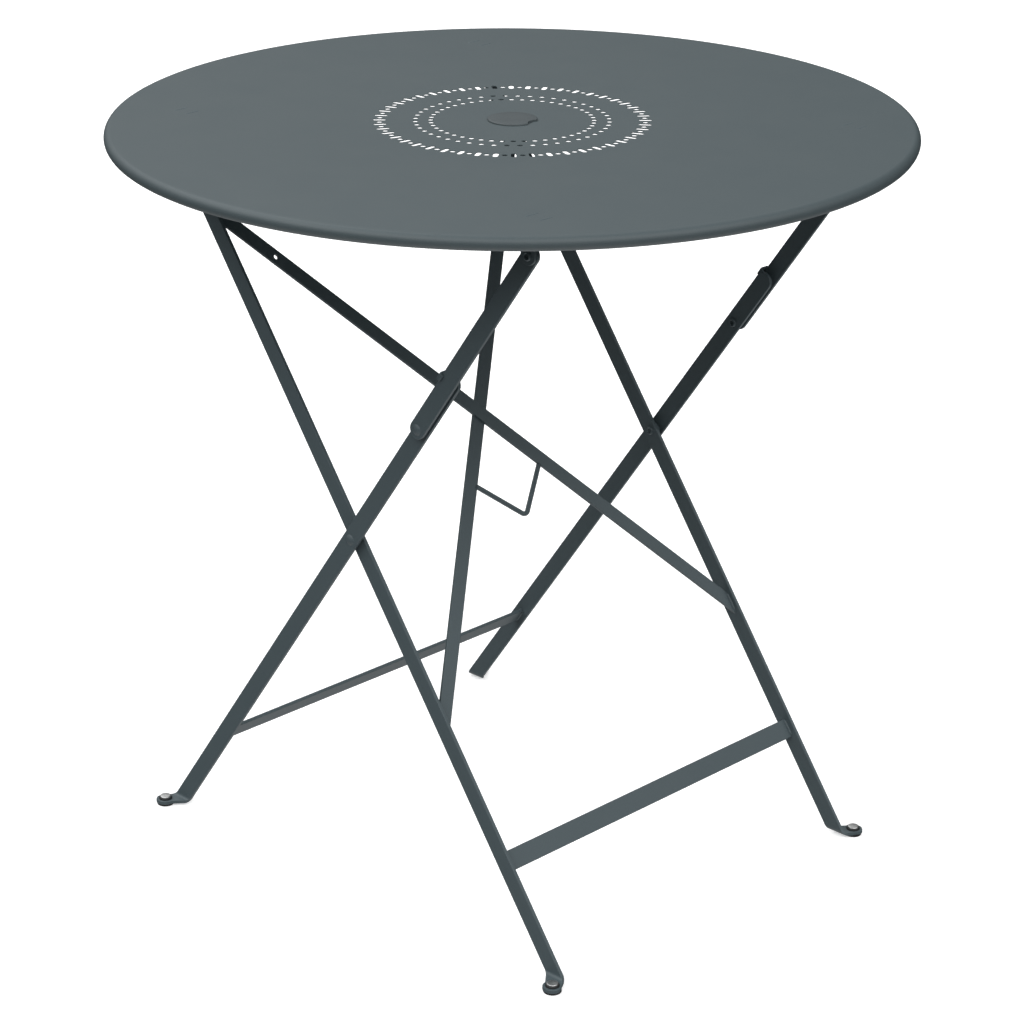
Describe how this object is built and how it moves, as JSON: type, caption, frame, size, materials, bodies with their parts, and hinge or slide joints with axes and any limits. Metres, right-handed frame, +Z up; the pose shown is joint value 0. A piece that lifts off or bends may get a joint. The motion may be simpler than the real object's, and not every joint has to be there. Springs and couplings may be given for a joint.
{
  "type": "folding bistro table",
  "caption": "Round folding bistro table: rolled-rim steel top with a perforated centre and parasol cap, on crossed flat-bar legs with knee-jointed struts and riveted feet.",
  "frame": {"origin": "on the floor, under the centre of the round top", "axes": "+Z up; X is the direction in which the legs spread, the inner legs standing at +X; Y runs along the crossbars"},
  "size_m": [0.7699, 0.77, 0.7418],
  "materials": {
    "top_powder_coat": "fine-textured matte powder coat, slate grey",
    "frame_powder_coat": "fine-textured matte powder coat, slate grey",
    "cap_plastic": "satin moulded, slate grey",
    "bare_rivet": "plain, lightly brushed",
    "glide_rubber": "matte black"
  },
  "bodies": {
    "tabletop": {"tabletop": "top_powder_coat", "leg_bracket_near": "frame_powder_coat", "leg_bracket_far": "frame_powder_coat", "strut_bracket_near": "frame_powder_coat", "strut_bracket_far": "frame_powder_coat", "leg_pivot_rivet_near": "frame_powder_coat", "leg_pivot_rivet_far": "frame_powder_coat", "strut_pivot_rivet_near": "frame_powder_coat", "strut_pivot_rivet_far": "frame_powder_coat"},
    "parasol_cap": {"parasol_cap": "cap_plastic"},
    "inner_legs": {"inner_leg_near": "frame_powder_coat", "inner_leg_far": "frame_powder_coat", "inner_crossbar": "frame_powder_coat", "front_brace": "frame_powder_coat", "rear_brace": "frame_powder_coat", "wire_loop": "frame_powder_coat", "scissor_rivet_tail_near": "frame_powder_coat", "scissor_rivet_tail_far": "frame_powder_coat", "scissor_spacer_near": "frame_powder_coat", "scissor_spacer_far": "frame_powder_coat", "inner_foot_glide_near": "glide_rubber", "inner_foot_glide_far": "glide_rubber", "inner_foot_collar_near": "glide_rubber", "inner_foot_collar_far": "glide_rubber", "inner_foot_rivet_near": "bare_rivet", "inner_foot_rivet_far": "bare_rivet"},
    "strut_near": {"strut_near": "frame_powder_coat", "knee_rivet_near": "frame_powder_coat", "knee_spacer_near": "frame_powder_coat"},
    "strut_far": {"strut_far": "frame_powder_coat", "knee_rivet_far": "frame_powder_coat", "knee_spacer_far": "frame_powder_coat"},
    "outer_legs": {"outer_leg_near": "frame_powder_coat", "outer_leg_far": "frame_powder_coat", "outer_crossbar": "frame_powder_coat", "scissor_rivet_head_near": "frame_powder_coat", "scissor_rivet_head_far": "frame_powder_coat", "outer_foot_glide_near": "glide_rubber", "outer_foot_glide_far": "glide_rubber", "outer_foot_collar_near": "glide_rubber", "outer_foot_collar_far": "glide_rubber", "outer_foot_rivet_near": "bare_rivet", "outer_foot_rivet_far": "bare_rivet"}
  },
  "joints": [
    {"name": "leg_fold", "type": "hinge", "parent": "tabletop", "child": "inner_legs", "pos_m": [-0.242, 0, 0.708], "axis": [0, -1, 0], "range_deg": [0, 51.23]},
    {"name": "strut_fold_near", "type": "hinge", "parent": "tabletop", "child": "strut_near", "pos_m": [0.242, -0.2232, 0.708], "axis": [0, 1, 0], "range_deg": [0, 52.65]},
    {"name": "strut_fold_far", "type": "hinge", "parent": "tabletop", "child": "strut_far", "pos_m": [0.242, 0.2232, 0.708], "axis": [0, 1, 0], "range_deg": [0, 52.65]},
    {"name": "knee_fold", "type": "hinge", "parent": "strut_near", "child": "outer_legs", "pos_m": [0.10044, -0.2232, 0.51172], "axis": [0, -1, 0], "range_deg": [0, 173.48]},
    {"name": "cap_pull", "type": "slide", "parent": "tabletop", "child": "parasol_cap", "axis": [0, 0, 1], "range_m": [0, 0.03]}
  ],
  "couplings": [
    {"joint": "strut_fold_near", "follows": "leg_fold", "ratio": 1.0276},
    {"joint": "strut_fold_far", "follows": "leg_fold", "ratio": 1.0276},
    {"joint": "knee_fold", "follows": "leg_fold", "ratio": 3.3863}
  ]
}
